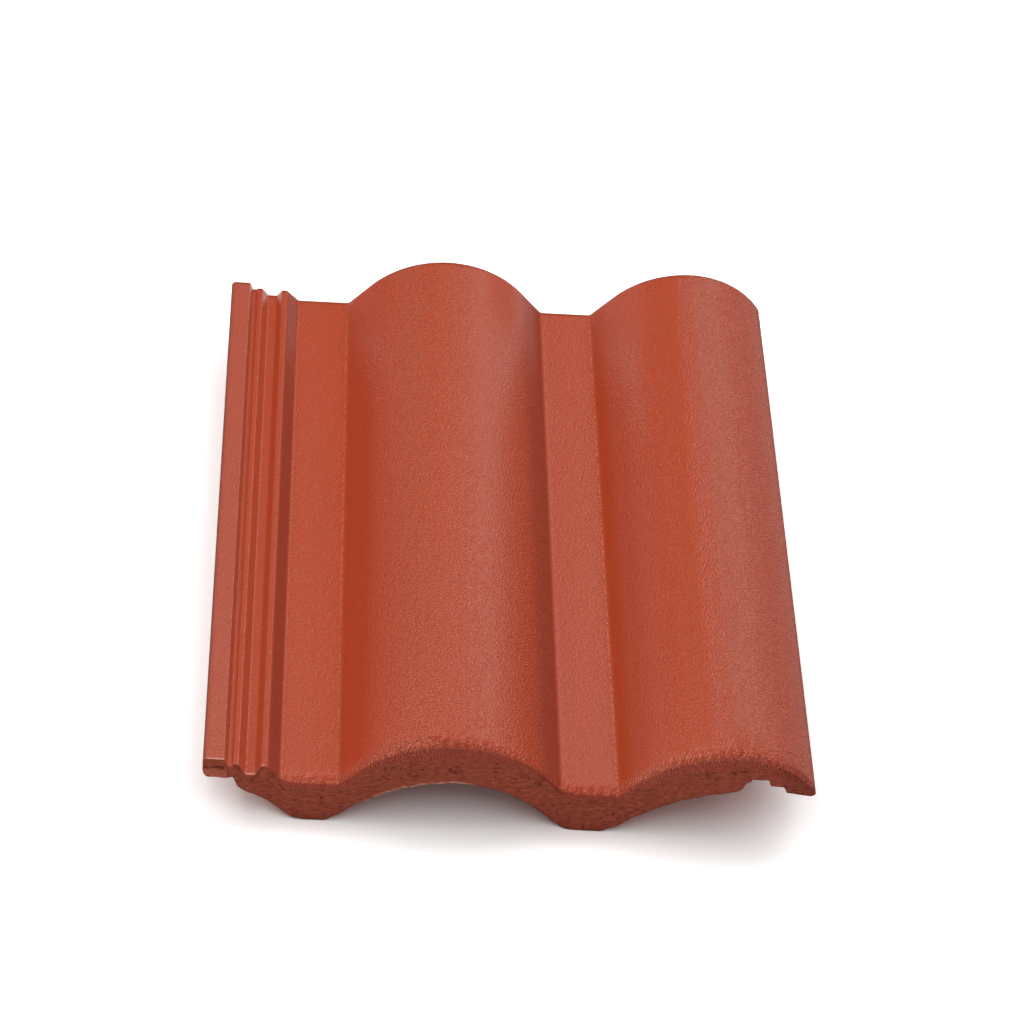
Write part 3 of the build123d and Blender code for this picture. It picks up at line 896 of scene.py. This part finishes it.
# painted shade: the overlapping lip is darkened on its front and on top
lip_shade = times(painted("lip"), ramp(grain, 0.35, 0.65, 0.42, 0.12))
colour = mixed(lip_shade, mixed(coat, torn_colour, coat_colour), "#3A1208")
print("both colours:", len(tree.nodes), "nodes so far")

# %% [markdown]
# Three bumps stand on each other: the grain of the coat or the streaks of the bare face,
# the strokes of the sagging band, and the fine curls. The roughness goes from 0.33, a
# satin paint, to 1.0 for bare concrete and for the slopes that the rollers leave dull.

# %% Bumps, gloss and shader
SATIN, BARE = 0.33, 1.0


def bumped(height, distance, **below):
    """A surface direction tilted by the slope of a height, on top of the one below."""
    bump = add(tree, "ShaderNodeBump", Height=height, Distance=distance, Strength=1.0, **below)
    return bump.outputs[0]


height = add(
    tree, "ShaderNodeMix", {"data_type": "FLOAT"}, Factor=coat, in2=streaks, in3=grain_height
).outputs[0]
skin = bumped(height, 0.00065)
folds = bumped(times(strokes, painted("band")), 0.0004, Normal=skin)
surface = bumped(times(curls, painted("curl_and_highlight")), 0.00015, Normal=folds)
roughness = ramp(painted("gloss"), 0.0, 1.0, BARE, SATIN)
shader = add(
    tree, "ShaderNodeBsdfPrincipled", Base_Color=colour, Roughness=roughness, Normal=surface
)
add(tree, "ShaderNodeOutputMaterial", Surface=shader.outputs[0])
tile_mesh.materials.append(material)
print(material.name, "has", len(tree.nodes), "nodes")

# %% [markdown]
# ## Floor, light and camera
# The tile lies on white paper that fades out to white. The paper is lit as it is, and
# only for the camera and for reflections it looks brighter, and glows far away, so that
# it turns white round the shadow while the tile gets no extra light from it.

# %% Floor
FLOOR_HALF = 6.0
GLOW_START, GLOW_END = 1.0, 3.0  # metres from the tile
corners = [(FLOOR_HALF * a, FLOOR_HALF * b, 0) for a, b in ((-1, -1), (1, -1), (1, 1), (-1, 1))]
floor_mesh = bpy.data.meshes.new("studio_floor")
floor_mesh.from_pydata(corners, [], [(0, 1, 2, 3)])
floor = bpy.data.objects.new("studio_floor", floor_mesh)
bpy.context.scene.collection.objects.link(floor)


def total(first, second):
    """The sum of two values."""
    return add(tree, "ShaderNodeMath", {"operation": "ADD"}, in0=first, in1=second).outputs[0]


def both(first, second):
    """Two shaders added."""
    return add(tree, "ShaderNodeAddShader", in0=first.outputs[0], in1=second.outputs[0])


paper, tree = new_material("white_paper_floor")
rays = add(tree, "ShaderNodeLightPath").outputs
seen = total(total(rays["Is Camera Ray"], rays["Is Glossy Ray"]), rays["Is Transmission Ray"])
floor_place = add(tree, "ShaderNodeTexCoord").outputs["Object"]
distance = add(tree, "ShaderNodeVectorMath", {"operation": "LENGTH"}, Vector=floor_place)
glow_strength = ramp(distance.outputs["Value"], GLOW_START, GLOW_END, 0.021, 0.9)
paper_light = add(tree, "ShaderNodeBsdfDiffuse", Color=linear("#F4F2F1"))
extra_light = add(tree, "ShaderNodeBsdfDiffuse", Color=(0.69, 0.725, 0.725, 1))
glow = add(tree, "ShaderNodeEmission", Color=linear("#FFFFFF"), Strength=glow_strength)
white = both(both(paper_light, extra_light), glow)
pick = add(
    tree, "ShaderNodeMixShader", in0=seen, in1=paper_light.outputs[0], in2=white.outputs[0]
)
add(tree, "ShaderNodeOutputMaterial", Surface=pick.outputs[0])
floor_mesh.materials.append(paper)
print(paper.name, "on", 2 * FLOOR_HALF, "m of floor")

# %% [markdown]
# The light is that of a studio with large soft lamps all round, so shadows are short and
# soft. The strongest two stand above, left and right, and give the left flanks their
# even light and the right flanks their sheen. The rest fill the shadows in. Area lamps
# are used, because a lit dome alone would leave the tile without any direction.

# %% World
world = bpy.data.worlds.new("studio_room")
bpy.context.scene.world = world
world.use_nodes = True
tree = world.node_tree
tree.nodes.clear()
room_light = add(tree, "ShaderNodeBackground", Color=linear("#FFFFFF"), Strength=0.16)
add(tree, "ShaderNodeOutputWorld", Surface=room_light.outputs[0])


# %% Lamps
def put_in_scene(thing, axes, place):
    """Links an object, with the columns of axes as its own X, Y and Z."""
    matrix = np.eye(4)
    matrix[:3, :3], matrix[:3, 3] = axes, place
    thing.matrix_world = Matrix(matrix.tolist())
    bpy.context.scene.collection.objects.link(thing)


def softbox(name, place, width, power):
    """A square lamp that shines along its -Z axis, which points from its place at the tile.

    Its X axis lies level, or square to Y for a lamp that looks nearly straight down.
    """
    lamp = bpy.data.lights.new(name, "AREA")
    lamp.shape = "RECTANGLE"
    lamp.size = lamp.size_y = width
    lamp.energy = power
    away = np.array(place) / np.linalg.norm(place)
    across = np.cross([0.0, 1.0, 0.0] if away[2] > 0.9 else [0.0, 0.0, 1.0], away)
    across /= np.linalg.norm(across)
    axes = np.stack([across, np.cross(away, across), away], axis=1)
    put_in_scene(bpy.data.objects.new(name, lamp), axes, place)


LAMPS = [  # name, place, width in metres, watts
    ("front_softbox", (0.0, -0.8, 1.386), 0.9, 5.0),
    ("left_softbox", (-1.226, 0.0, 1.028), 0.8, 4.4),
    ("left_top_softbox", (-0.653, 0.175, 1.45), 1.0, 6.4),
    ("right_softbox", (1.131, 0.0, 1.131), 0.8, 2.1),
    ("right_top_softbox", (0.531, 0.531, 1.413), 0.9, 7.4),
    ("back_softbox", (0.641, 1.206, 0.827), 0.8, 3.5),
]
for lamp in LAMPS:
    softbox(*lamp)
print(len(LAMPS), "lamps,", round(sum(power for _, _, _, power in LAMPS), 1), "W in all")

# %% [markdown]
# The camera stands in front of the nose, left of the middle, and looks down at about 41
# degrees through a long lens. Its place and turn were fitted to the tile's straight edges.

# %% Camera
FOCAL_PIXELS, IMAGE_PIXELS, SENSOR = 3569.2, 1024, 36
camera = bpy.data.cameras.new("photo_camera")
camera.sensor_width = SENSOR
camera.lens = FOCAL_PIXELS * SENSOR / IMAGE_PIXELS
camera.clip_end = 50
right = np.array([0.99648383, -0.02147939, 0.08098526])
down = np.array([0.04685738, -0.65842322, -0.7511879])
forward = np.array([0.06945763, 0.75234135, -0.65510162])
eye = bpy.data.objects.new("photo_camera", camera)
eye_place = np.array([-138.597, -1549.169, 1396.237]) / 1000
put_in_scene(eye, np.stack([right, -down, -forward], axis=1), eye_place)
bpy.context.scene.camera = eye
bpy.context.scene.view_settings.view_transform = "Standard"
print("lens", round(camera.lens, 1), "mm,", round(float(np.linalg.norm(eye_place)), 2), "m away")
